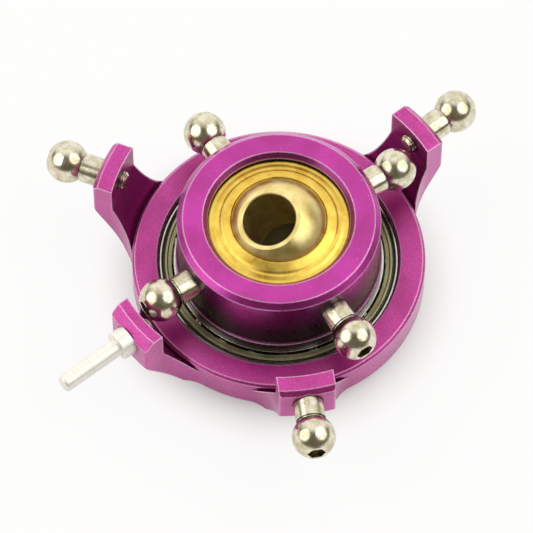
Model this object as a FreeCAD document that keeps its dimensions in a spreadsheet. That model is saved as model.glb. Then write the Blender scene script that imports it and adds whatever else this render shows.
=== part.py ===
"""Helicopter swashplate for collective and cyclic pitch control.

A non-rotating outer ring with three link-ball arms and an anti-rotation pin carries, on a shielded
thin-section ball bearing, a rotating hub with four link balls. Two brass races in the hub hold the
bored pivot ball that slides on the main shaft. All link balls and the pivot ball share one plane.

Millimetres and degrees. The origin is the centre of the pivot ball, +Z is up along the axis of the
swashplate, and the anti-rotation pin points along -Y.
"""
import FreeCAD, Part
import math
import os
from types import SimpleNamespace

import Sketcher

SIZES = (
    # bearing between the ring and the hub
    ("BearingBore", 22.0, "bore of the bearing"),
    ("BearingSection", 2.5, "radial width of the bearing"),
    ("BearingWidth", 4.0, "width of the bearing"),
    ("BearingDrop", 5.75, "top face of the bearing below the plane of the link balls"),
    ("BearingBallDiameter", 1.588, "balls in the bearing"),
    ("BearingBallCount", 20, "number of balls in the bearing"),
    ("BearingPlay", 0.03, "gap between the balls and their tracks"),
    ("ShoulderWidth", 0.82, "wall of each bearing race beside its track"),
    ("RaceEdgeChamfer", 0.12, "chamfer on the fitted corners of both bearing races"),
    ("ShieldSeatWall", 0.3, "wall of the outer bearing race round each shield"),
    ("ShieldSeatDepth", 0.5, "depth of the seat of each shield"),
    ("ShieldThickness", 0.2, "sheet of each shield"),
    ("ShieldInnerGap", 0.24, "gap between a shield and the inner bearing race"),
    ("ShieldFlatWidth", 0.43, "flat inner part of a shield"),
    ("ShieldBeadWidth", 0.37, "raised bead round a shield"),
    ("ShieldBeadHeight", 0.2, "bead of a shield above its flat part"),
    ("ShieldBeadFlank", 0.07, "width of each side of the bead"),
    ("ShieldRimGap", 0.03, "gap between a shield and the wall of its seat"),
    ("SnapRingThickness", 0.12, "snap ring that holds a shield"),
    ("SnapRingWidth", 0.3, "radial width of a snap ring"),
    ("SnapRingBite", 0.07, "snap ring inside the wall of the shield's seat"),
    ("SnapRingPlay", 0.01, "gap between a snap ring and its groove"),
    ("SnapRingOpening", 14.0, "opening of a snap ring, degrees"),
    ("CageThickness", 0.5, "radial thickness of the ball cage"),
    ("CageHeight", 1.7, "height of the ball cage"),
    ("CageRise", 0.5, "top of the ball cage above the middle of the bearing"),
    ("CagePocketPlay", 0.06, "gap between a ball and its pocket in the cage"),
    # non-rotating outer ring
    ("BearingRecess", 0.55, "top face of the ring above the bearing"),
    ("RingWall", 3.0, "radial width of the ring round the bearing"),
    ("RingThickness", 4.0, "height of the ring's rim"),
    ("RingEdgeChamfer", 0.3, "chamfer on the top outer edge of the ring"),
    ("SeatEntryChamfer", 0.22, "chamfer at the mouth of the bearing seat"),
    ("BossWall", 1.5, "radial width of the boss under the ring"),
    ("BossChamfer", 0.3, "chamfer under the boss"),
    ("BottomLip", 1.25, "thickness of the lip under the bearing"),
    ("BottomLipOverlap", 0.6, "overlap of the lip and the outer bearing race"),
    ("SeatFit", 0.01, "gap round pieces that are pressed or screwed home"),
    # arms and lugs of the outer ring
    ("ArmCount", 3, "arms with link balls, equally spaced"),
    ("ArmWidth", 6.3, "width of each arm and of the pin lug"),
    ("ArmReach", 4.85, "outer face of a lug outside the ring"),
    ("ArmFillet", 4.0, "fillet between the side of an arm and the ring"),
    ("LugThickness", 2.3, "radial thickness of a lug"),
    ("LugTop", 2.25, "top of a lug above the plane of the link balls"),
    ("LugChamfer", 0.55, "chamfer on the outer top edge of an arm's lug"),
    ("PinLugChamfer", 1.1, "chamfer on the outer top edge of the pin lug"),
    ("LugCorner", 0.4, "rounding of the outer upright edges of a lug"),
    ("LugInnerDrop", 1.5, "foot of the inner face of a lug below the plane of the link balls"),
    ("LugOuterDrop", 2.7, "foot of the outer face of a lug below the plane of the link balls"),
    ("WebDrop", 1.2, "top of the sloping web below the top face of the ring"),
    ("WebFoot", 0.7, "underside of the web outside the ring"),
    # link balls and anti-rotation pin
    ("LinkBallDiameter", 4.8, "link balls"),
    ("LinkBallFlat", 2.5, "diameter of the flat at the end of a link ball"),
    ("SocketAcrossFlats", 1.8, "hexagon socket in a link ball"),
    ("SocketDepth", 1.3, "depth of the hexagon socket"),
    ("CollarDiameter", 3.3, "collar of a link ball or pin"),
    ("NeckDepth", 0.15, "groove between a collar and its ball"),
    ("NeckWidth", 0.2, "width of that groove"),
    ("StudDiameter", 2.0, "threaded shank of a link ball or pin"),
    ("ShankChamfer", 0.25, "chamfer at the end of a shank"),
    ("SpotfaceDepth", 0.15, "seat of a collar below the turned surface"),
    ("SpotfaceMargin", 0.1, "seat outside the collar"),
    ("HoleRunout", 0.2, "end of a blind hole beyond its shank"),
    ("RingBallReach", 4.15, "centres of the link balls of the ring outside the faces of the lugs"),
    ("RingShank", 2.9, "shank of a link ball or pin in its lug"),
    ("HubBallReach", 4.15, "centres of the link balls of the hub outside the hub"),
    ("HubShank", 1.9, "shank of a link ball in the hub"),
    ("PinCollarLength", 1.5, "collar of the anti-rotation pin"),
    ("PinLength", 7.6, "plain length of the anti-rotation pin"),
    ("PinDiameter", 2.0, "plain part of the anti-rotation pin"),
    ("PinTipRadius", 0.4, "rounding of the tip of the pin"),
    # rotating hub
    ("HubTop", 3.7, "top face of the hub above the plane of the link balls"),
    ("HubStep", 0.35, "hub outside the bore of the bearing"),
    ("HubWall", 2.75, "radial thickness of the hub round the races"),
    ("HubTopChamfer", 0.65, "chamfer on the top outer edge of the hub"),
    ("HubMouthChamfer", 0.55, "chamfer on the top inner edge of the hub"),
    ("HubFootFillet", 0.25, "fillet between the hub and its foot"),
    ("HubFootThickness", 1.25, "foot of the hub above the bearing"),
    ("HubBallCount", 4, "number of link balls on the hub"),
    ("HubAngle", -6.0, "turn of the hub from the arms, degrees"),
    ("HubTail", 1.05, "end of the hub below the bearing"),
    ("HubTailChamfer", 0.2, "chamfers at the lower end of the hub"),
    # races of the pivot ball
    ("RaceWall", 2.35, "wall of both races round the middle of the pivot ball"),
    ("RaceStep", 0.75, "neck of the upper race inside its outer surface"),
    ("RaceMouthGap", 0.06, "gap between that neck and the hub"),
    ("RaceShoulder", 2.2, "shoulder of the upper race above the plane of the link balls"),
    ("RaceEdge", 2.75, "outer edge of the upper race above that plane"),
    ("RaceFace", 3.4, "mouth of the upper race above that plane"),
    ("RaceLandWidth", 0.45, "flat land round the conical face of the upper race"),
    ("RaceGrooveGap", 0.5, "groove in that face inside the land"),
    ("RaceGrooveWidth", 0.45, "width of that groove"),
    ("RaceGrooveDepth", 0.12, "depth of that groove"),
    ("RaceMouthChamfer", 0.1, "chamfer at the mouth of each race"),
    ("RaceSplit", 0.1, "gap between the two races"),
    ("LowerRaceDepth", 3.4, "bottom of the lower race below the plane of the link balls"),
    # retaining rings
    ("RaceClipThickness", 0.8, "retaining ring under the races"),
    ("RaceClipWidth", 1.3, "radial width of that ring"),
    ("RaceClipBite", 0.45, "depth of its groove in the hub"),
    ("BearingClipThickness", 0.6, "retaining ring under the bearing"),
    ("BearingClipWidth", 1.2, "radial width of that ring"),
    ("BearingClipBite", 0.5, "depth of its groove in the hub"),
    ("ClipPlay", 0.04, "gap between a retaining ring and its groove"),
    ("ClipOpening", 34.0, "opening of a retaining ring, degrees"),
    ("ClipHoleDiameter", 0.55, "plier hole near each end of a retaining ring"),
    ("ClipHoleAngle", 5.0, "plier hole from the end of a retaining ring, degrees"),
    # pivot ball
    ("PivotBallPlay", 0.02, "gap between the pivot ball and its races"),
    ("PivotFlatDiameter", 7.1, "flat ends of the pivot ball"),
    ("ShaftBore", 6.0, "bore for the main shaft"),
    ("ShaftBoreChamfer", 0.12, "chamfer at both ends of that bore"),
    ("PivotTilt", 15.8, "tilt of the pivot ball in its races, degrees"),
)


class Size:
    """A number and the spreadsheet expression that it comes from."""

    def __init__(self, value, text):
        self.value = float(value)
        self.text = text

    def __add__(self, other):
        other = as_size(other)
        return Size(self.value + other.value, f"({self.text} + {other.text})")

    def __sub__(self, other):
        other = as_size(other)
        return Size(self.value - other.value, f"({self.text} - {other.text})")

    def __mul__(self, other):
        other = as_size(other)
        return Size(self.value * other.value, f"({self.text} * {other.text})")

    def __truediv__(self, other):
        other = as_size(other)
        return Size(self.value / other.value, f"({self.text} / {other.text})")

    def __neg__(self):
        return self * -1


def as_size(number):
    """The number as a Size, if it isn't one already."""
    return number if isinstance(number, Size) else Size(number, f"({number!r})")


def root(size):
    """The square root of a Size."""
    return Size(math.sqrt(size.value), f"sqrt({size.text})")


def sine(size):
    """The sine of a Size in degrees."""
    return Size(math.sin(math.radians(size.value)), f"sin({size.text} * 1 deg)")


def cosine(size):
    """The cosine of a Size in degrees."""
    return Size(math.cos(math.radians(size.value)), f"cos({size.text} * 1 deg)")


def arcsine(size):
    """The angle in degrees whose sine is a Size."""
    return Size(math.degrees(math.asin(size.value)), f"(asin({size.text}) / 1 deg)")


def leg(hypotenuse, other_leg):
    """The third side of a right-angled triangle."""
    return root(hypotenuse * hypotenuse - other_leg * other_leg)


def write_sheet(document):
    """Put every size into the spreadsheet and return them as named Sizes."""
    sheet = document.addObject("Spreadsheet::Sheet", "Sizes")
    for row, (name, value, meaning) in enumerate(SIZES, start=1):
        sheet.set(f"A{row}", meaning)
        sheet.set(f"B{row}", str(value))
        sheet.setAlias(f"B{row}", name)
    document.recompute()
    return SimpleNamespace(**{name: Size(value, f"Sizes.{name}") for name, value, _ in SIZES})


document = FreeCAD.newDocument("swashplate")
size = write_sheet(document)
ZERO = as_size(0)
FULL_TURN = as_size(360)

# Radii and heights that several pieces share.
bearing_inner = size.BearingBore / 2
bearing_outer = bearing_inner + size.BearingSection
bearing_pitch = (bearing_outer + bearing_inner) / 2
bearing_top = -size.BearingDrop
bearing_middle = bearing_top - size.BearingWidth / 2
bearing_bottom = bearing_top - size.BearingWidth
outer_land = bearing_outer - size.ShoulderWidth
inner_land = bearing_inner + size.ShoulderWidth
shield_seat = bearing_outer - size.ShieldSeatWall
bearing_ball = size.BearingBallDiameter / 2
ring_outer = bearing_outer + size.RingWall
ring_top = bearing_top + size.BearingRecess
flange_bottom = ring_top - size.RingThickness
ring_bottom = bearing_bottom - size.BottomLip
lug_outer = ring_outer + size.ArmReach
lug_inner = lug_outer - size.LugThickness
arm_seat = lug_outer - size.SpotfaceDepth
ring_ball_centre = lug_outer + size.RingBallReach
hub_outer = bearing_inner + size.HubStep
hub_seat = hub_outer - size.SpotfaceDepth
hub_ball_centre = hub_outer + size.HubBallReach
hub_bottom = bearing_bottom - size.HubTail
race_outer = hub_outer - size.HubWall
race_bore = race_outer + size.SeatFit
race_neck = race_outer - size.RaceStep
race_land = race_neck - size.RaceLandWidth
stud_radius = size.StudDiameter / 2
collar_radius = size.CollarDiameter / 2
link_ball = size.LinkBallDiameter / 2
pivot_ball = race_outer - size.RaceWall
pivot_seat = pivot_ball + size.PivotBallPlay
race_clip_top = -size.LowerRaceDepth
snap_ring_outer = shield_seat + size.SnapRingBite
snap_ring_floor = (size.BearingWidth / 2 - size.ShieldSeatDepth + size.ShieldThickness
                   + size.SnapRingPlay)


# Sketches ---------------------------------------------------------------------------------------

def new_body(label):
    """A PartDesign body whose label is the name of the sub-part."""
    body = document.addObject("PartDesign::Body", f"Body_{label}")
    body.Label = label
    return body


def origin_feature(body, role):
    """The plane or axis of the body's own origin that has this role."""
    return next(feature for feature in body.Origin.OriginFeatures if feature.Role == role)


def new_sketch(body, name, plane, offset=None):
    """An empty sketch on one of the body's origin planes, raised along its normal by offset."""
    sketch = body.newObject("Sketcher::SketchObject", name)
    sketch.AttachmentSupport = [(origin_feature(body, plane), "")]
    sketch.MapMode = "FlatFace"
    if offset is not None:
        sketch.setExpression("AttachmentOffset.Base.z", offset.text)
    return sketch


def constrain(sketch, kind, *arguments, value=None):
    """Add a constraint and tie its value, if it has one, to the spreadsheet."""
    if value is None:
        sketch.addConstraint(Sketcher.Constraint(kind, *arguments))
        return
    index = sketch.addConstraint(Sketcher.Constraint(kind, *arguments, value.value))
    sketch.setExpression(f"Constraints[{index}]", value.text)


def hold_point(sketch, edge, end, place):
    """Tie one end of an edge, or the centre of an arc, to its x and y."""
    for kind, axis, distance in zip(("DistanceX", "DistanceY"), (-2, -1), place):
        if distance is ZERO:
            constrain(sketch, "PointOnObject", edge, end, axis)
        else:
            constrain(sketch, kind, -1, 1, edge, end, value=distance)


def vector(place):
    """The point of a sketch at an (x, y) of Sizes."""
    return FreeCAD.Vector(place[0].value, place[1].value, 0)


def arc_between(start, end, centre):
    """The shorter arc about a centre from one point to another, and whether it runs backwards."""
    first = vector(start) - vector(centre)
    last = vector(end) - vector(centre)
    backwards = first.cross(last).z < 0
    if backwards:
        first, last = last, first
    circle = Part.Circle(vector(centre), FreeCAD.Vector(0, 0, 1), first.Length)
    start_angle = math.atan2(first.y, first.x)
    turn_angle = first.getAngle(last)
    return Part.ArcOfCircle(circle, start_angle, start_angle + turn_angle), backwards


def outline(sketch, corners, arcs=None):
    """A closed outline through (x, y) corners. arcs gives the (centre, radius) of the edges that
    are arcs, by the number of the corner where they start."""
    arcs = arcs or {}
    first_edge = sketch.GeometryCount
    ends = []
    for index, corner in enumerate(corners):
        following = corners[(index + 1) % len(corners)]
        backwards = False
        if index in arcs:
            geometry, backwards = arc_between(corner, following, arcs[index][0])
        else:
            geometry = Part.LineSegment(vector(corner), vector(following))
        edge = sketch.addGeometry(geometry)
        ends.append((edge, 2, 1) if backwards else (edge, 1, 2))
    for index, corner in enumerate(corners):
        edge, start, end = ends[index]
        following_edge, following_start, _ = ends[(index + 1) % len(corners)]
        constrain(sketch, "Coincident", edge, end, following_edge, following_start)
        hold_point(sketch, edge, start, corner)
    for index, (_, radius) in arcs.items():
        constrain(sketch, "Radius", first_edge + index, value=radius)


def circle(sketch, centre, radius):
    """A full circle."""
    edge = sketch.addGeometry(Part.Circle(vector(centre), FreeCAD.Vector(0, 0, 1), radius.value))
    hold_point(sketch, edge, 3, centre)
    constrain(sketch, "Radius", edge, value=radius)


# Features ---------------------------------------------------------------------------------------

def turn(body, kind, name, sketch, axis="V_Axis", sector=None):
    """A Revolution or Groove of the sketch about one of its axes, whole or over a sector that
    lies equally to both sides of the sketch."""
    feature = body.newObject(f"PartDesign::{kind}", name)
    feature.Profile = sketch
    feature.ReferenceAxis = (sketch, [axis])
    feature.Angle = 360
    if sector is not None:
        feature.Midplane = True
        feature.setExpression("Angle", sector.text)
    return feature


def turned(body, name, corners, arcs=None, sector=None, kind="Revolution", plane="XZ_Plane"):
    """Material added or cut by turning a (radius, height) outline about Z."""
    sketch = new_sketch(body, f"{name}_section", plane)
    outline(sketch, corners, arcs)
    return turn(body, kind, name, sketch, sector=sector)


def bored(body, name, corners, plane):
    """A hole with an (along, radius) outline, bored along the first axis of the plane."""
    sketch = new_sketch(body, f"{name}_section", plane)
    outline(sketch, corners)
    return turn(body, "Groove", name, sketch, axis="H_Axis")


def pocket(body, name, sketch, length=None, both_ways=False):
    """A Pocket of the sketch, through everything unless it has a length."""
    feature = body.newObject("PartDesign::Pocket", name)
    feature.Profile = sketch
    if both_ways:
        feature.SideType = "Symmetric"
    if length is None:
        feature.Type = "ThroughAll"
    else:
        feature.Type = "Length"
        feature.setExpression("Length", length.text)
    return feature


def polar(body, name, features, count):
    """Equally spaced copies of features about Z."""
    pattern = body.newObject("PartDesign::PolarPattern", name)
    pattern.Originals = features
    pattern.Axis = (origin_feature(body, "Z_Axis"), [""])
    pattern.Angle = 360
    pattern.setExpression("Occurrences", count.text)
    body.Tip = pattern
    return pattern


def place_radially(body, angle, radius):
    """Turn a body about Z and move it out along the direction that its X axis then has."""
    body.Placement = FreeCAD.Placement(FreeCAD.Vector(), FreeCAD.Rotation(FreeCAD.Vector(0, 0, 1), 1))
    body.setExpression("Placement.Rotation.Angle", angle.text)
    body.setExpression("Placement.Base.x", (radius * cosine(angle)).text)
    body.setExpression("Placement.Base.y", (radius * sine(angle)).text)


def place_at_height(body, height):
    """Move a body along Z."""
    body.setExpression("Placement.Base.z", height.text)


# Outer ring -------------------------------------------------------------------------------------

def turn_lug(body, name, toward, chamfer):
    """The turned sector, milled sides and stud hole of an arm that points along Y times toward."""
    root_radius = ring_outer - size.RingWall / 2
    section = [
        (root_radius, flange_bottom),
        (ring_outer + size.WebFoot, flange_bottom),
        (lug_outer, -size.LugOuterDrop),
        (lug_outer, size.LugTop - chamfer),
        (lug_outer - chamfer, size.LugTop),
        (lug_inner, size.LugTop),
        (lug_inner, -size.LugInnerDrop),
        (ring_outer, ring_top - size.WebDrop),
        (root_radius, ring_top - size.WebDrop),
    ]
    section = [(radius * toward, height) for radius, height in section]
    half_width = size.ArmWidth / 2
    fillet_across = half_width + size.ArmFillet
    fillet_reach = ring_outer + size.ArmFillet
    fillet_along = leg(fillet_reach, fillet_across)
    fillet_share = ring_outer / fillet_reach
    width_angle = arcsine(fillet_across / fillet_reach) * 2
    sector = turned(body, f"{name}_turning", section, sector=width_angle, plane="YZ_Plane")

    corner_across = half_width - size.LugCorner
    corner_along = leg(lug_outer - size.LugCorner, corner_across)
    corner_share = lug_outer / (lug_outer - size.LugCorner)
    clear_share = (lug_outer + size.ArmReach) / (lug_outer - size.LugCorner)
    clear_across = ring_outer + size.ArmReach
    milling = new_sketch(body, f"{name}_sides_outline", "XY_Plane")
    for side in (1, -1):
        corners = [
            (fillet_across * fillet_share, fillet_along * fillet_share),
            (half_width, fillet_along),
            (half_width, corner_along),
            (corner_across * corner_share, corner_along * corner_share),
            (corner_across * clear_share, corner_along * clear_share),
            (clear_across, corner_along * clear_share),
            (clear_across, fillet_along * fillet_share),
        ]
        centres = {
            0: ((fillet_across * side, fillet_along * toward), size.ArmFillet),
            2: ((corner_across * side, corner_along * toward), size.LugCorner),
        }
        outline(milling, [(across * side, along * toward) for across, along in corners], centres)
    sides = pocket(body, f"{name}_sides", milling, size.RingThickness * 8, both_ways=True)

    hole = stud_hole(lug_inner - size.SpotfaceDepth, lug_outer, arm_seat, toward)
    bore = bored(body, f"{name}_hole", hole, "YZ_Plane")
    return [sector, sides, bore]


def stud_hole(inner_end, outer_end, seat, toward=1):
    """The (along, radius) outline of a stud hole with a flat seat for the collar."""
    hole_radius = stud_radius + size.SeatFit
    seat_radius = collar_radius + size.SpotfaceMargin
    beyond = outer_end + size.ArmReach
    corners = [
        (inner_end, ZERO),
        (inner_end, hole_radius),
        (seat, hole_radius),
        (seat, seat_radius),
        (beyond, seat_radius),
        (beyond, ZERO),
    ]
    return [(along * toward, radius) for along, radius in corners]


def build_outer_ring():
    """The non-rotating ring: bearing seat, boss, three arms and the pin lug."""
    body = new_body("outer_ring")
    seat = bearing_outer + size.SeatFit
    lip = bearing_outer - size.BottomLipOverlap
    boss = bearing_outer + size.BossWall
    lug_turning, lug_sides, lug_bore = turn_lug(body, "arm", 1, size.LugChamfer)
    polar(body, "arms", [lug_turning, lug_sides, lug_bore], size.ArmCount)
    turn_lug(body, "pin_lug", -1, size.PinLugChamfer)
    turned(body, "rim", [
        (lip, ring_bottom),
        (boss - size.BossChamfer, ring_bottom),
        (boss, ring_bottom + size.BossChamfer),
        (boss, flange_bottom),
        (ring_outer, flange_bottom),
        (ring_outer, ring_top - size.RingEdgeChamfer),
        (ring_outer - size.RingEdgeChamfer, ring_top),
        (seat + size.SeatEntryChamfer, ring_top),
        (seat, ring_top - size.SeatEntryChamfer),
        (seat, bearing_bottom),
        (lip, bearing_bottom),
    ])
    return body


# Link balls and anti-rotation pin ---------------------------------------------------------------

def shank_outline(seat, shank_length):
    """The shank and the back of the collar of a stud, whose collar seats at seat."""
    shank_end = seat - shank_length
    return [
        (shank_end, ZERO),
        (shank_end, stud_radius - size.ShankChamfer),
        (shank_end + size.ShankChamfer, stud_radius),
        (seat, stud_radius),
        (seat, collar_radius),
    ]


def build_link_ball(label, seat, ball_radius, shank_length, angle):
    """A link ball with its neck groove, collar, shank and hexagon socket."""
    body = new_body(label)
    neck_radius = collar_radius - size.NeckDepth
    neck_start = -leg(link_ball, neck_radius)
    flat_radius = size.LinkBallFlat / 2
    flat = leg(link_ball, flat_radius)
    corners = shank_outline(seat - ball_radius, shank_length) + [
        (neck_start - size.NeckWidth, collar_radius),
        (neck_start - size.NeckWidth, neck_radius),
        (neck_start, neck_radius),
        (ZERO, link_ball),
        (flat, flat_radius),
        (flat, ZERO),
    ]
    ball_arcs = {index: ((ZERO, ZERO), link_ball) for index in (7, 8)}
    section = new_sketch(body, "stud_section", "XZ_Plane")
    outline(section, corners, ball_arcs)
    turn(body, "Revolution", "stud", section, axis="H_Axis")

    socket = new_sketch(body, "socket_outline", "YZ_Plane", offset=flat)
    circumradius = size.SocketAcrossFlats / math.sqrt(3)
    half_flats = size.SocketAcrossFlats / 2
    outline(socket, [
        (circumradius, ZERO),
        (circumradius / 2, half_flats),
        (-circumradius / 2, half_flats),
        (-circumradius, ZERO),
        (-circumradius / 2, -half_flats),
        (circumradius / 2, -half_flats),
    ])
    pocket(body, "socket", socket, size.SocketDepth)
    place_radially(body, angle, ball_radius)
    return body


def build_anti_rotation_pin():
    """The plain pin that runs in the guide and keeps the outer ring from turning."""
    body = new_body("anti_rotation_pin")
    collar_end = arm_seat + size.PinCollarLength
    tip = collar_end + size.PinLength
    pin_radius = size.PinDiameter / 2
    corners = shank_outline(arm_seat, size.RingShank) + [
        (collar_end, collar_radius),
        (collar_end, pin_radius),
        (tip - size.PinTipRadius, pin_radius),
        (tip, pin_radius - size.PinTipRadius),
        (tip, ZERO),
    ]
    tip_centre = (tip - size.PinTipRadius, pin_radius - size.PinTipRadius)
    section = new_sketch(body, "pin_section", "XZ_Plane")
    outline(section, corners, {7: (tip_centre, size.PinTipRadius)})
    turn(body, "Revolution", "pin", section, axis="H_Axis")
    place_radially(body, FULL_TURN * 3 / 4, ZERO)
    return body


# Bearing ----------------------------------------------------------------------------------------

def snap_ring_section(side, play=ZERO):
    """The (radius, height) outline of a snap ring, or of its groove when there is play."""
    inner = snap_ring_outer - size.SnapRingWidth - play
    outer = snap_ring_outer + play
    bottom = (snap_ring_floor - play) * side
    top = (snap_ring_floor + size.SnapRingThickness + play) * side
    return [(inner, bottom), (outer, bottom), (outer, top), (inner, top)]


def build_bearing_races():
    """The outer race, with a seat and a snap-ring groove for each shield, and the inner race."""
    chamfer = size.RaceEdgeChamfer
    half_width = size.BearingWidth / 2
    seat_floor = half_width - size.ShieldSeatDepth
    outer = new_body("bearing_outer_race")
    turned(outer, "ring", [
        (outer_land, -seat_floor),
        (shield_seat, -seat_floor),
        (shield_seat, -half_width),
        (bearing_outer - chamfer, -half_width),
        (bearing_outer, -half_width + chamfer),
        (bearing_outer, half_width - chamfer),
        (bearing_outer - chamfer, half_width),
        (shield_seat, half_width),
        (shield_seat, seat_floor),
        (outer_land, seat_floor),
    ])
    inner = new_body("bearing_inner_race")
    turned(inner, "ring", [
        (bearing_inner + chamfer, -half_width),
        (inner_land, -half_width),
        (inner_land, half_width),
        (bearing_inner + chamfer, half_width),
        (bearing_inner, half_width - chamfer),
        (bearing_inner, -half_width + chamfer),
    ])
    track_radius = bearing_ball + size.BearingPlay
    for race in (outer, inner):
        track = new_sketch(race, "track_section", "XZ_Plane")
        circle(track, (bearing_pitch, ZERO), track_radius)
        turn(race, "Groove", "track", track)
        place_at_height(race, bearing_middle)
    for name, side in (("upper", 1), ("lower", -1)):
        groove = snap_ring_section(side, size.SnapRingPlay)
        turned(outer, f"{name}_snap_ring_groove", groove, kind="Groove")
    return [outer, inner]


def build_bearing_balls():
    """The balls, equally spaced, as one sub-part of separate solids."""
    body = new_body("bearing_balls")
    body.AllowCompound = True
    section = new_sketch(body, "ball_section", "XZ_Plane")
    top = (bearing_pitch, bearing_ball)
    bottom = (bearing_pitch, -bearing_ball)
    side = (bearing_pitch + bearing_ball, ZERO)
    centre = (bearing_pitch, ZERO)
    outline(section, [bottom, side, top], {index: (centre, bearing_ball) for index in (0, 1)})
    axis = new_sketch(body, "ball_axis", "XZ_Plane")
    axis.addGeometry(Part.LineSegment(vector(bottom), vector(top)))
    hold_point(axis, 0, 1, bottom)
    hold_point(axis, 0, 2, top)
    ball = body.newObject("PartDesign::Revolution", "ball")
    ball.Profile = section
    ball.ReferenceAxis = (axis, ["Edge1"])
    ball.Angle = 360
    polar(body, "balls", [ball], size.BearingBallCount)
    place_at_height(body, bearing_middle)
    return body


def build_bearing_cage():
    """The crown cage: a ring with an open snap-in pocket for every ball."""
    body = new_body("bearing_cage")
    inner = bearing_pitch - size.CageThickness / 2
    outer = bearing_pitch + size.CageThickness / 2
    bottom = size.CageRise - size.CageHeight
    turned(body, "band", [
        (inner, bottom),
        (outer, bottom),
        (outer, size.CageRise),
        (inner, size.CageRise),
    ])
    pocket_sketch = new_sketch(body, "pocket_outline", "YZ_Plane", offset=inner - size.CageThickness)
    circle(pocket_sketch, (ZERO, ZERO), bearing_ball + size.CagePocketPlay)
    opening = pocket(body, "pocket", pocket_sketch, size.CageThickness * 3)
    opening.Reversed = True
    polar(body, "pockets", [opening], size.BearingBallCount)
    place_at_height(body, bearing_middle)
    return body


def build_shield(label, side):
    """A shield with a raised bead. side is 1 above the balls and -1 below them."""
    body = new_body(label)
    floor = size.BearingWidth / 2 - size.ShieldSeatDepth
    sheet = size.ShieldThickness
    inner = inner_land + size.ShieldInnerGap
    outer = shield_seat - size.ShieldRimGap
    bead = inner + size.ShieldFlatWidth
    bead_end = bead + size.ShieldBeadWidth
    slope = size.ShieldBeadFlank
    bead_floor = floor + size.ShieldBeadHeight
    corners = [
        (inner, floor),
        (bead, floor),
        (bead + slope, bead_floor),
        (bead_end - slope, bead_floor),
        (bead_end, floor),
        (outer, floor),
        (outer, floor + sheet),
        (bead_end, floor + sheet),
        (bead_end - slope, bead_floor + sheet),
        (bead + slope, bead_floor + sheet),
        (bead, floor + sheet),
        (inner, floor + sheet),
    ]
    turned(body, "sheet", [(radius, height * side) for radius, height in corners])
    place_at_height(body, bearing_middle)
    return body


def build_snap_ring(label, side):
    """The open snap ring that holds a shield against the floor of its seat."""
    body = new_body(label)
    turned(body, "band", snap_ring_section(side), sector=FULL_TURN - size.SnapRingOpening)
    place_at_height(body, bearing_middle)
    return body


# Hub --------------------------------------------------------------------------------------------

def build_hub():
    """The rotating hub, which carries the bearing on its tail and the races in its bore."""
    body = new_body("hub")
    mouth = race_neck + size.RaceMouthGap
    foot_top = bearing_top + size.HubFootThickness
    foot = hub_outer + size.HubFootFillet
    tail = bearing_inner - size.SeatFit
    tail_chamfer = size.HubTailChamfer
    corners = [
        (mouth, size.HubTop - size.HubMouthChamfer),
        (mouth + size.HubMouthChamfer, size.HubTop),
        (hub_outer - size.HubTopChamfer, size.HubTop),
        (hub_outer, size.HubTop - size.HubTopChamfer),
        (hub_outer, foot_top + size.HubFootFillet),
        (foot, foot_top),
        (foot, bearing_top),
        (tail, bearing_top),
        (tail, hub_bottom + tail_chamfer),
        (tail - tail_chamfer, hub_bottom),
        (race_bore + tail_chamfer, hub_bottom),
        (race_bore, hub_bottom + tail_chamfer),
        (race_bore, size.RaceShoulder),
        (mouth, size.RaceShoulder),
    ]
    fillet_centre = (foot, foot_top + size.HubFootFillet)
    turned(body, "turning", corners, {4: (fillet_centre, size.HubFootFillet)})
    clip_bottom = race_clip_top - size.RaceClipThickness - size.ClipPlay
    turned(body, "race_clip_groove", [
        (race_bore - size.RaceClipBite, clip_bottom),
        (race_bore + size.RaceClipBite, clip_bottom),
        (race_bore + size.RaceClipBite, race_clip_top),
        (race_bore - size.RaceClipBite, race_clip_top),
    ], kind="Groove")
    clip_bottom = bearing_bottom - size.BearingClipThickness - size.ClipPlay
    turned(body, "bearing_clip_groove", [
        (tail - size.BearingClipBite, clip_bottom),
        (tail + size.BearingClipBite, clip_bottom),
        (tail + size.BearingClipBite, bearing_bottom),
        (tail - size.BearingClipBite, bearing_bottom),
    ], kind="Groove")
    hole_end = hub_seat - size.HubShank - size.HoleRunout
    hole = bored(body, "stud_hole", stud_hole(hole_end, hub_outer, hub_seat), "XZ_Plane")
    polar(body, "stud_holes", [hole], size.HubBallCount)
    place_radially(body, size.HubAngle, ZERO)
    return body


def build_retaining_ring(label, inner, outer, top, thickness):
    """A retaining ring with a plier hole near each end, open towards -X."""
    body = new_body(label)
    ring_top_face = top - size.ClipPlay / 2
    ring_bottom_face = ring_top_face - thickness
    turned(body, "band", [
        (inner, ring_bottom_face),
        (outer, ring_bottom_face),
        (outer, ring_top_face),
        (inner, ring_top_face),
    ], sector=FULL_TURN - size.ClipOpening)
    hole_angle = FULL_TURN / 2 - size.ClipOpening / 2 - size.ClipHoleAngle
    middle = (inner + outer) / 2
    holes = new_sketch(body, "plier_hole_outline", "XY_Plane")
    for side in (1, -1):
        centre = (middle * cosine(hole_angle), middle * sine(hole_angle) * side)
        circle(holes, centre, size.ClipHoleDiameter / 2)
    pocket(body, "plier_holes", holes, (top * -4), both_ways=True)
    return body


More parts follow.
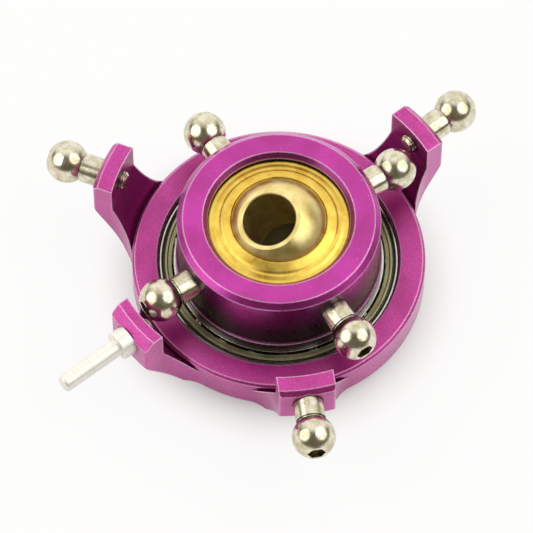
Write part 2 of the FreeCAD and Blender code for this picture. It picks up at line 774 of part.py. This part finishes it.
def build_upper_race():
    """The brass race above the middle of the pivot ball, with the face seen from above."""
    body = new_body("upper_race")
    split = size.RaceSplit / 2
    chamfer = size.RaceMouthChamfer
    mouth_height = size.RaceFace - chamfer
    mouth = leg(pivot_seat, mouth_height)
    face_inner = mouth + chamfer
    fall = (size.RaceFace - size.RaceEdge) / (race_land - face_inner)
    groove_outer = race_land - size.RaceGrooveGap
    groove_inner = groove_outer - size.RaceGrooveWidth
    groove_middle = (groove_outer + groove_inner) / 2
    groove_outer_height = size.RaceEdge + fall * (race_land - groove_outer)
    groove_middle_height = size.RaceEdge + fall * (race_land - groove_middle)
    groove_inner_height = size.RaceEdge + fall * (race_land - groove_inner)
    corners = [
        (leg(pivot_seat, split), split),
        (race_outer, split),
        (race_outer, size.RaceShoulder),
        (race_neck, size.RaceShoulder),
        (race_neck, size.RaceEdge),
        (race_land, size.RaceEdge),
        (groove_outer, groove_outer_height),
        (groove_middle, groove_middle_height - size.RaceGrooveDepth),
        (groove_inner, groove_inner_height),
        (face_inner, size.RaceFace),
        (mouth, mouth_height),
    ]
    turned(body, "turning", corners, {10: ((ZERO, ZERO), pivot_seat)})
    return body


def build_lower_race():
    """The brass race below the middle of the pivot ball."""
    body = new_body("lower_race")
    split = size.RaceSplit / 2
    chamfer = size.RaceMouthChamfer
    mouth_height = size.LowerRaceDepth - chamfer
    mouth = leg(pivot_seat, mouth_height)
    corners = [
        (leg(pivot_seat, split), -split),
        (race_outer, -split),
        (race_outer, -size.LowerRaceDepth),
        (mouth + chamfer, -size.LowerRaceDepth),
        (mouth, -mouth_height),
    ]
    turned(body, "turning", corners, {4: ((ZERO, ZERO), pivot_seat)})
    return body


def build_pivot_ball():
    """The bored ball that slides on the main shaft and lets the swashplate tilt."""
    body = new_body("pivot_ball")
    bore = size.ShaftBore / 2
    chamfer = size.ShaftBoreChamfer
    flat_radius = size.PivotFlatDiameter / 2
    flat = leg(pivot_ball, flat_radius)
    corners = [
        (bore, -flat + chamfer),
        (bore + chamfer, -flat),
        (flat_radius, -flat),
        (flat_radius, flat),
        (bore + chamfer, flat),
        (bore, flat - chamfer),
    ]
    turned(body, "turning", corners, {2: ((ZERO, ZERO), pivot_ball)})
    body.Placement = FreeCAD.Placement(FreeCAD.Vector(), FreeCAD.Rotation(FreeCAD.Vector(1, 0, 0), 1))
    body.setExpression("Placement.Rotation.Angle", size.PivotTilt.text)
    return body


# Assembly ---------------------------------------------------------------------------------------

def build_link_balls():
    """The three link balls of the ring and the four of the hub."""
    balls = []
    spacing = FULL_TURN / size.ArmCount
    for index in range(round(size.ArmCount.value)):
        angle = spacing * index + FULL_TURN / 4
        balls.append(build_link_ball(
            f"ring_link_ball_{index + 1}", arm_seat, ring_ball_centre, size.RingShank, angle))
    spacing = FULL_TURN / size.HubBallCount
    for index in range(round(size.HubBallCount.value)):
        angle = spacing * index + size.HubAngle
        balls.append(build_link_ball(
            f"hub_link_ball_{index + 1}", hub_seat, hub_ball_centre, size.HubShank, angle))
    return balls


def build_retaining_rings():
    """The ring under the races and the ring under the bearing."""
    race_clip_outer = race_bore + size.RaceClipBite - size.ClipPlay
    bearing_clip_inner = bearing_inner - size.SeatFit - size.BearingClipBite + size.ClipPlay
    return [
        build_retaining_ring("race_retaining_ring", race_clip_outer - size.RaceClipWidth,
                             race_clip_outer, race_clip_top, size.RaceClipThickness),
        build_retaining_ring("bearing_retaining_ring", bearing_clip_inner,
                             bearing_clip_inner + size.BearingClipWidth, bearing_bottom,
                             size.BearingClipThickness),
    ]


def export(parts):
    """Recompute, refuse anything that failed, and write one STEP file for each sub-part."""
    document.recompute()
    for item in document.Objects:
        if {"Invalid", "Error"} & set(item.State):
            raise ValueError(f"{item.Label}: {item.State}")
    os.makedirs("parts", exist_ok=True)
    for part in parts:
        shape = part.Shape
        if shape.isNull() or not shape.isValid() or not shape.Solids:
            raise ValueError(f"{part.Label} has no valid solid")
        shape.exportStep(f"parts/{part.Label}.step")
        print(f"{part.Label}: {len(shape.Solids)} solids, {shape.Volume:.2f} mm3")


parts = [build_outer_ring(), build_hub(), build_pivot_ball(), build_upper_race(), build_lower_race()]
parts += build_retaining_rings()
parts += build_bearing_races()
parts += [build_bearing_balls(), build_bearing_cage()]
for name, side in (("upper", 1), ("lower", -1)):
    parts.append(build_shield(f"{name}_shield", side))
    parts.append(build_snap_ring(f"{name}_snap_ring", side))
parts += build_link_balls()
parts.append(build_anti_rotation_pin())
export(parts)
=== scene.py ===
import math
import bpy
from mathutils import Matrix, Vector


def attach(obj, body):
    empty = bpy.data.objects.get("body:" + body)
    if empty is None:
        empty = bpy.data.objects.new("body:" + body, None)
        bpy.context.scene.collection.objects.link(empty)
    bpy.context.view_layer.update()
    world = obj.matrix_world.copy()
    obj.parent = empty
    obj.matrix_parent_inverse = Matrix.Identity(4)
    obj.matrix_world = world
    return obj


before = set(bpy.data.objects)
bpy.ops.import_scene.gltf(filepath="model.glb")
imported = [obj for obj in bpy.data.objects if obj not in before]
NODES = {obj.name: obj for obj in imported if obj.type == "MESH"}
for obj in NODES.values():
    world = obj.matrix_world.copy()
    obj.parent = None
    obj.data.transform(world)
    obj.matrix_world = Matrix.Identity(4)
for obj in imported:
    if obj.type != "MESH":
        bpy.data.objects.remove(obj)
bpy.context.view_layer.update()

MM = 0.001
SHADER_SAMPLES = 6  # rays of each bevel and occlusion node
EDGE_REACH = 0.5  # mm within which an outer edge has to be free
METAL_SHARE = 0.92  # how metallic the anodised faces are
HIGHLIGHT_EDGE_METAL_SHARE = 0.4  # and how metallic an edge with a painted highlight is


def linear(red, green, blue):
    """The linear colour of 8-bit sRGB values."""
    out = []
    for value in (red, green, blue):
        value /= 255
        out.append(value / 12.92 if value <= 0.04045 else ((value + 0.055) / 1.055) ** 2.4)
    return (*out, 1.0)


class Nodes:
    """The shader nodes of one tree, and short ways to make and link them."""

    def __init__(self, tree):
        self.tree = tree

    def node(self, kind, **settings):
        item = self.tree.nodes.new(kind)
        for key, value in settings.items():
            setattr(item, key, value)
        return item

    def feed(self, socket, value):
        """Link an output to the socket, or set the socket's own value."""
        if isinstance(value, bpy.types.NodeSocket):
            self.tree.links.new(value, socket)
        elif value is not None:
            socket.default_value = value

    def vector_math(self, operation, first, second=None, scale=None):
        item = self.node("ShaderNodeVectorMath", operation=operation)
        self.feed(item.inputs[0], first)
        self.feed(item.inputs[1], second)
        self.feed(item.inputs[3], scale)
        return item.outputs["Value" if operation in ("DOT_PRODUCT", "LENGTH") else "Vector"]

    def math(self, operation, first, second=None):
        item = self.node("ShaderNodeMath", operation=operation)
        self.feed(item.inputs[0], first)
        self.feed(item.inputs[1], second)
        return item.outputs[0]

    def between(self, value, low, high, to_low=0.0, to_high=1.0, shape="LINEAR"):
        """The value mapped from low..high to to_low..to_high, and clamped."""
        item = self.node("ShaderNodeMapRange", interpolation_type=shape)
        for socket, number in zip(item.inputs, (value, low, high, to_low, to_high)):
            self.feed(socket, number)
        return item.outputs[0]

    def mix(self, amount, first, second):
        item = self.node("ShaderNodeMix", data_type="RGBA")
        self.feed(item.inputs[0], amount)
        self.feed(item.inputs[6], first)
        self.feed(item.inputs[7], second)
        return item.outputs[2]


class Surface(Nodes):
    """A material round one Principled BSDF, with coordinates in millimetres."""

    def __init__(self, name, metallic, **sockets):
        self.material = bpy.data.materials.new(name)
        self.material.use_nodes = True
        super().__init__(self.material.node_tree)
        self.shader = self.tree.nodes["Principled BSDF"]
        self.shader.inputs["Metallic"].default_value = metallic
        for socket, value in sockets.items():
            self.shader.inputs[socket.replace("_", " ")].default_value = value
        place = self.node("ShaderNodeTexCoord").outputs["Object"]
        self.place = self.vector_math("SCALE", place, scale=1 / MM)

    def noise(self, per_mm, detail=3.0, roughness=0.55):
        """Cloudy noise from 0 to 1, with about this many changes in a millimetre."""
        item = self.node("ShaderNodeTexNoise")
        self.feed(item.inputs["Vector"], self.place)
        item.inputs["Scale"].default_value = per_mm
        item.inputs["Detail"].default_value = detail
        item.inputs["Roughness"].default_value = roughness
        return item.outputs["Fac"]

    def lathe_marks(self, per_mm):
        """Noise that changes only with the distance from the Z axis."""
        radius = self.vector_math("LENGTH", self.vector_math("MULTIPLY", self.place, (1, 1, 0)))
        item = self.node("ShaderNodeTexNoise", noise_dimensions="1D")
        self.feed(item.inputs["W"], radius)
        item.inputs["Scale"].default_value = per_mm
        item.inputs["Detail"].default_value = 3.0
        return item.outputs["Fac"]

    def rounded_edges(self, radius_mm):
        """The normal rounded near edges, and how strongly it is rounded on outer edges, which masks
        painted highlights.
        """
        bevel = self.node("ShaderNodeBevel", samples=SHADER_SAMPLES)
        bevel.inputs["Radius"].default_value = radius_mm * MM
        flat = self.node("ShaderNodeNewGeometry").outputs["Normal"]
        turned = self.vector_math("DOT_PRODUCT", bevel.outputs[0], flat)
        edge = self.between(turned, 0.99, 0.92)
        outer = self.between(self.openness(EDGE_REACH), 0.72, 0.9)
        return bevel.outputs[0], self.math("MULTIPLY", edge, outer)

    def openness(self, distance_mm):
        """1 where nothing is near within the distance, and less in corners and beside walls."""
        item = self.node("ShaderNodeAmbientOcclusion", samples=SHADER_SAMPLES)
        item.inputs["Distance"].default_value = distance_mm * MM
        return item.outputs["AO"]

    def finish(self, colour, roughness, normal, height, strength, depth_mm):
        """Link the colour, the roughness and the normal with its fine relief."""
        self.feed(self.shader.inputs["Base Color"], colour)
        self.feed(self.shader.inputs["Roughness"], roughness)
        bump = self.node("ShaderNodeBump")
        bump.inputs["Strength"].default_value = strength
        bump.inputs["Distance"].default_value = depth_mm * MM
        self.feed(bump.inputs["Height"], height)
        self.feed(bump.inputs["Normal"], normal)
        self.feed(self.shader.inputs["Normal"], bump.outputs[0])
        return self.material


def anodised(name, deep, bright, roughness, grain_share, shade_reach, shade_start, shadow):
    """Dyed, finely blasted aluminium with painted highlights on its outer edges, and painted shade
    where its surroundings close in.
    """
    surface = Surface(name, METAL_SHARE, Coat_Roughness=0.25, Coat_IOR=1.5)
    rounded, edge = surface.rounded_edges(0.25)
    cloud = surface.between(surface.noise(0.22, detail=4.0), 0.35, 0.65)
    tint = surface.mix(cloud, deep, bright)
    grain = surface.noise(5.0, roughness=0.7)
    tint = surface.mix(surface.between(grain, 0.3, 0.6, 1 - grain_share), linear(158, 36, 122), tint)
    speck = surface.between(surface.noise(3.1, detail=1.0), 0.74, 0.8)
    tint = surface.mix(speck, tint, linear(228, 104, 198))
    # Painted shade: the shadow colour, with less metal and coat, where the surroundings close in.
    open_share = surface.between(surface.openness(shade_reach), shade_start, 0.99)
    tint = surface.mix(open_share, shadow, tint)
    # Painted highlight: pale pink on outer edges, with less metal there.
    tint = surface.mix(edge, tint, linear(255, 214, 246))
    edge_metal = surface.between(edge, 0, 1, METAL_SHARE, HIGHLIGHT_EDGE_METAL_SHARE)
    metal = surface.math("MULTIPLY", edge_metal, surface.between(open_share, 0, 1, 0.6, 1))
    surface.feed(surface.shader.inputs["Metallic"], metal)
    surface.feed(surface.shader.inputs["Coat Weight"], surface.between(open_share, 0, 1, 0.1, 1))
    rough = surface.between(surface.noise(1.3), 0.3, 0.7, roughness, roughness + 0.1)
    return surface.finish(tint, rough, rounded, grain, strength=0.25 * grain_share, depth_mm=0.02)


def turned_metal(name, bright, dull, roughness, marks=2.5, marks_share=0.5, marks_depth=0.004,
                 metallic=1.0, corner_shade=None, corner_shade_range=(0.3, 0.85), edge_highlight_colour=None, edge_radius=0.05):
    """Lathe-turned metal: rings of colour, gloss and height, blotches, and, if given, painted shade in
    the corners and painted highlights on outer edges.
    """
    surface = Surface(name, metallic)
    rounded, edge = surface.rounded_edges(edge_radius)
    rings = surface.lathe_marks(marks)
    blotch = surface.noise(0.6, detail=4.0)
    share = surface.math("ADD", surface.math("MULTIPLY", rings, marks_share),
                         surface.math("MULTIPLY", blotch, 1 - marks_share))
    tint = surface.mix(surface.between(share, 0.36, 0.62), dull, bright)
    # Painted shade: the given dark colour in corners, gaps and sockets.
    if corner_shade is not None:
        tint = surface.mix(surface.between(surface.openness(0.8), *corner_shade_range), corner_shade, tint)
    # Painted highlight: the given pale colour on outer edges, with less metal there.
    if edge_highlight_colour is not None:
        tint = surface.mix(edge, tint, edge_highlight_colour)
        edge_metal = surface.between(edge, 0, 1, metallic, HIGHLIGHT_EDGE_METAL_SHARE)
        surface.feed(surface.shader.inputs["Metallic"], edge_metal)
    rough = surface.between(share, 0.35, 0.65, *roughness)
    return surface.finish(tint, rough, rounded, rings, strength=0.3, depth_mm=marks_depth)


def plated(name):
    """Nickel plating with faint stains, handling marks, painted shade in its sockets and corners, and
    painted highlights on its edges.
    """
    surface = Surface(name, 1.0)
    rounded, edge = surface.rounded_edges(0.05)
    stain = surface.between(surface.noise(1.1, detail=6.0, roughness=0.65), 0.4, 0.64)
    tint = surface.mix(stain, linear(236, 231, 212), linear(196, 186, 152))
    fleck = surface.between(surface.noise(4.2, detail=2.0), 0.66, 0.76)
    tint = surface.mix(fleck, tint, linear(120, 110, 84))
    # Painted shade in the sockets and corners.
    unshaded = surface.between(surface.openness(1.0), 0.3, 0.85)
    tint = surface.mix(unshaded, linear(26, 22, 14), tint)
    # Painted highlight on outer edges.
    tint = surface.mix(edge, tint, linear(250, 248, 236))
    rough = surface.between(surface.noise(2.2, detail=4.0), 0.35, 0.7, 0.15, 0.27)
    return surface.finish(tint, rough, rounded, surface.noise(1.6), strength=0.05, depth_mm=0.02)


# Materials --------------------------------------------------------------------------------------

ring_purple = anodised(
    "ring_anodised_aluminium", deep=linear(200, 48, 154), bright=linear(226, 70, 184),
    roughness=0.38, grain_share=0.9, shade_reach=6.0, shade_start=0.0, shadow=linear(132, 26, 94))
hub_purple = anodised(
    "hub_anodised_aluminium", deep=linear(180, 32, 146), bright=linear(206, 48, 176),
    roughness=0.25, grain_share=0.3, shade_reach=10.0, shade_start=0.62, shadow=linear(44, 8, 30))
brass = turned_metal(
    "race_brass", bright=linear(252, 220, 108), dull=linear(226, 182, 74), roughness=(0.26, 0.38),
    marks=9.0, marks_share=0.2, marks_depth=0.001, corner_shade=linear(96, 70, 18),
    corner_shade_range=(0.1, 0.5), edge_radius=0.3)
ball_brass = turned_metal(
    "ball_brass", bright=linear(253, 236, 168), dull=linear(234, 208, 126), roughness=(0.28, 0.38),
    marks=9.0, marks_share=0.05, marks_depth=0.0003, corner_shade=linear(30, 24, 4),
    edge_highlight_colour=linear(255, 246, 214))
steel = turned_metal(
    "race_steel", bright=linear(232, 230, 224), dull=linear(196, 192, 182), roughness=(0.14, 0.24),
    marks=5.0, edge_highlight_colour=linear(255, 253, 244), edge_radius=0.1)
shield = turned_metal(
    "shield_steel", bright=linear(186, 182, 140), dull=linear(130, 128, 88), roughness=(0.26, 0.4),
    marks=9.0, metallic=0.75, corner_shade=linear(26, 26, 12), edge_highlight_colour=linear(240, 236, 208),
    edge_radius=0.12)
# Near black: blackened spring steel, and also painted shade for the dark groove where the shield's wire
# sits.
spring = turned_metal(
    "dark_spring_steel_painted_shade", bright=linear(30, 30, 24), dull=linear(14, 14, 12),
    roughness=(0.35, 0.5), metallic=0.6)
cage = turned_metal(
    "cage_steel", bright=linear(190, 176, 140), dull=linear(150, 136, 100), roughness=(0.25, 0.4))
pin = turned_metal(
    "pin_steel", bright=linear(255, 254, 250), dull=linear(244, 242, 234), roughness=(0.34, 0.44),
    metallic=0.5)
nickel = plated("nickel")

LOOKS = {
    "outer_ring": ring_purple, "hub": hub_purple, "pivot_ball": ball_brass,
    "upper_race": brass, "lower_race": brass,
    "race_retaining_ring": spring, "bearing_retaining_ring": spring,
    "upper_snap_ring": spring, "lower_snap_ring": spring,
    "bearing_outer_race": steel, "bearing_inner_race": steel, "bearing_balls": steel,
    "bearing_cage": cage, "upper_shield": shield, "lower_shield": shield,
    "anti_rotation_pin": pin,
}
SHARP_ANGLE = 28  # degrees between two faces that keep a sharp edge
SHARP_ANGLES = {"upper_race": 50}
for name, node in NODES.items():
    node.data.materials.clear()
    node.data.materials.append(LOOKS.get(name, nickel))
    node.data.shade_smooth()
    node.data.set_sharp_from_angle(angle=math.radians(SHARP_ANGLES.get(name, SHARP_ANGLE)))

# Threads on the stud ends -----------------------------------------------------------------------

THREAD_RADIUS = 1.0 * MM
THREAD_RISE = 0.075 * MM
THREAD_PITCH = 0.25 * MM
THREAD_HALF_WIDTH = 0.45 * THREAD_PITCH
THREAD_FOOT = 0.97 * THREAD_RADIUS  # the foot lies just under the stud's surface
THREAD_END = 18.52 * MM
THREAD_TURNS = 2
STEPS_PER_TURN = 48
FADE_STEPS = 8
STUD_ANGLES = (90, 210, 330, 270)


def thread(name, angle):
    """The screw thread that shows on the end of a stud inside its lug."""
    points = []
    faces = []
    last = THREAD_TURNS * STEPS_PER_TURN
    for step in range(last + 1):
        turned = 2 * math.pi * step / STEPS_PER_TURN
        along = THREAD_END + THREAD_PITCH * step / STEPS_PER_TURN
        fade = min(1, step / FADE_STEPS, (last - step) / FADE_STEPS)
        crest = THREAD_RADIUS + THREAD_RISE * fade
        for offset, distance in ((-THREAD_HALF_WIDTH, THREAD_FOOT), (0, crest),
                                 (THREAD_HALF_WIDTH, THREAD_FOOT)):
            points.append((along + offset, distance * math.cos(turned), distance * math.sin(turned)))
        if step:
            first = len(points) - 6
            faces.append((first, first + 1, first + 4, first + 3))
            faces.append((first + 1, first + 2, first + 5, first + 4))
    mesh = bpy.data.meshes.new(name)
    mesh.from_pydata(points, [], faces)
    mesh.materials.append(nickel)
    ridge = bpy.data.objects.new(name, mesh)
    bpy.context.scene.collection.objects.link(ridge)
    ridge.rotation_euler = (0, 0, math.radians(angle))
    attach(ridge, "outer_ring")


for number, angle in enumerate(STUD_ANGLES, start=1):
    thread(f"stud_thread_{number}", angle)

# Floor ------------------------------------------------------------------------------------------

FLOOR_HEIGHT = -11.05 * MM
FLOOR_SIZE = 6.0
SHADOW_RADIUS = 11 * MM  # the floor keeps the part's whole shadow inside this radius
CLEAR_RADIUS = 22 * MM  # and fades to white up to this one
CLEARNESS = 0.88
FRONT_DIRECTION = (0.26, -0.97, 0)
FRONT_START = -10 * MM
FRONT_END = 18 * MM
FRONT_GLOW = 0.55  # the floor's brightness in reflections at the front
PAPER = (0.58, 0.57, 0.57, 1)
PAPER_SEEN = (0.95, 0.928, 0.926, 1)
WHITE = (1, 1, 1, 1)

bpy.ops.mesh.primitive_plane_add(size=FLOOR_SIZE, location=(0, 0, FLOOR_HEIGHT))
floor = bpy.context.object
floor.name = "floor"
paper = bpy.data.materials.new("paper")
paper.use_nodes = True
nodes = Nodes(paper.node_tree)
nodes.tree.nodes.remove(nodes.tree.nodes["Principled BSDF"])
place = nodes.node("ShaderNodeTexCoord").outputs["Object"]
path = nodes.node("ShaderNodeLightPath").outputs
mirrored = nodes.math("MAXIMUM", path["Is Glossy Ray"], path["Is Transmission Ray"])
seen = nodes.math("MAXIMUM", path["Is Camera Ray"], mirrored)
reach = nodes.vector_math("LENGTH", place)
clear = nodes.between(reach, SHADOW_RADIUS, CLEAR_RADIUS, 0, CLEARNESS, "SMOOTHSTEP")
# Painted shade: in reflections the floor glows less towards the front, as if that side lay in shade.
front = nodes.vector_math("DOT_PRODUCT", place, FRONT_DIRECTION)
front_glow = nodes.between(front, FRONT_START, FRONT_END, 1, FRONT_GLOW, "SMOOTHSTEP")
shown = nodes.math("MAXIMUM", path["Is Camera Ray"], nodes.math("MULTIPLY", mirrored, front_glow))
diffuse = nodes.node("ShaderNodeBsdfDiffuse")
nodes.feed(diffuse.inputs["Color"], nodes.mix(seen, PAPER, PAPER_SEEN))
glow = nodes.node("ShaderNodeEmission")
glow.inputs["Color"].default_value = WHITE
glow.inputs["Strength"].default_value = 1.0
blend = nodes.node("ShaderNodeMixShader")
nodes.feed(blend.inputs[0], nodes.math("MULTIPLY", clear, shown))
nodes.feed(blend.inputs[1], diffuse.outputs[0])
nodes.feed(blend.inputs[2], glow.outputs[0])
nodes.feed(nodes.tree.nodes["Material Output"].inputs["Surface"], blend.outputs[0])
floor.data.materials.append(paper)

# World and lamps --------------------------------------------------------------------------------

OVERHEAD = (0.15, 0.135, 0.1, 1)
HORIZON = (0.9, 0.89, 0.87, 1)
HORIZON_LOW = -0.05
HORIZON_HIGH = 0.16
BACK_WALL = (1.05, 1.03, 0.97, 1)
BACK_DIRECTION = (-0.637, 0.514, 0.574)
BACK_EDGE = 0.42  # cosines of the angles from the back's direction
BACK_FULL = 0.84
LAMP_SIZE = 0.95
LAMP_DISTANCE = 0.85
LAMP_COLOUR = (1.0, 0.985, 0.955)

world = bpy.data.worlds.new("studio")
bpy.context.scene.world = world
world.use_nodes = True
nodes = Nodes(world.node_tree)
sky = nodes.tree.nodes["Background"]
direction = nodes.node("ShaderNodeTexCoord").outputs["Generated"]
above = nodes.vector_math("DOT_PRODUCT", direction, (0, 0, 1))
dome = nodes.mix(nodes.between(above, HORIZON_LOW, HORIZON_HIGH, shape="SMOOTHSTEP"), HORIZON, OVERHEAD)
near = nodes.vector_math("DOT_PRODUCT", direction, BACK_DIRECTION)
studio = nodes.mix(nodes.between(near, BACK_EDGE, BACK_FULL, shape="SMOOTHSTEP"), dome, BACK_WALL)
by_camera = nodes.node("ShaderNodeLightPath").outputs["Is Camera Ray"]
nodes.feed(sky.inputs["Color"], nodes.mix(by_camera, studio, WHITE))
sky.inputs["Strength"].default_value = 1.0


def softbox(name, direction, power):
    """A round soft lamp that faces the part from a direction."""
    light = bpy.data.lights.new(name, "AREA")
    light.shape = "DISK"
    light.size = LAMP_SIZE
    light.energy = power
    light.color = LAMP_COLOUR
    lamp = bpy.data.objects.new(name, light)
    bpy.context.scene.collection.objects.link(lamp)
    lamp.location = Vector(direction).normalized() * LAMP_DISTANCE
    lamp.rotation_euler = lamp.location.to_track_quat("Z", "Y").to_euler()
    lamp.visible_camera = False


softbox("softbox_left", (-0.37, -0.69, 0.60), 3.9)
softbox("softbox_right", (0.487, 0.440, 0.757), 3.6)

# Camera -----------------------------------------------------------------------------------------

AZIMUTH = math.radians(-38.85)
ELEVATION = math.radians(60.9)
DISTANCE = 508.3 * MM
AIM_RIGHT = -1.3554 * MM  # where the camera aims, from the origin across its view
AIM_UP = -3.6030 * MM
SENSOR_WIDTH = 36  # in mm, as the lens
LENS = 308.25

away = Vector((math.cos(ELEVATION) * math.cos(AZIMUTH), math.cos(ELEVATION) * math.sin(AZIMUTH),
               math.sin(ELEVATION)))
right = Vector((-math.sin(AZIMUTH), math.cos(AZIMUTH), 0))
up = away.cross(right)
target = right * AIM_RIGHT + up * AIM_UP
lens = bpy.data.cameras.new("camera")
lens.sensor_width = SENSOR_WIDTH
lens.lens = LENS
lens.clip_start = 0.01
camera = bpy.data.objects.new("camera", lens)
bpy.context.scene.collection.objects.link(camera)
camera.location = away * DISTANCE
camera.rotation_euler = (target - camera.location).to_track_quat("-Z", "Y").to_euler()
bpy.context.scene.camera = camera
bpy.context.scene.view_settings.view_transform = "Standard"
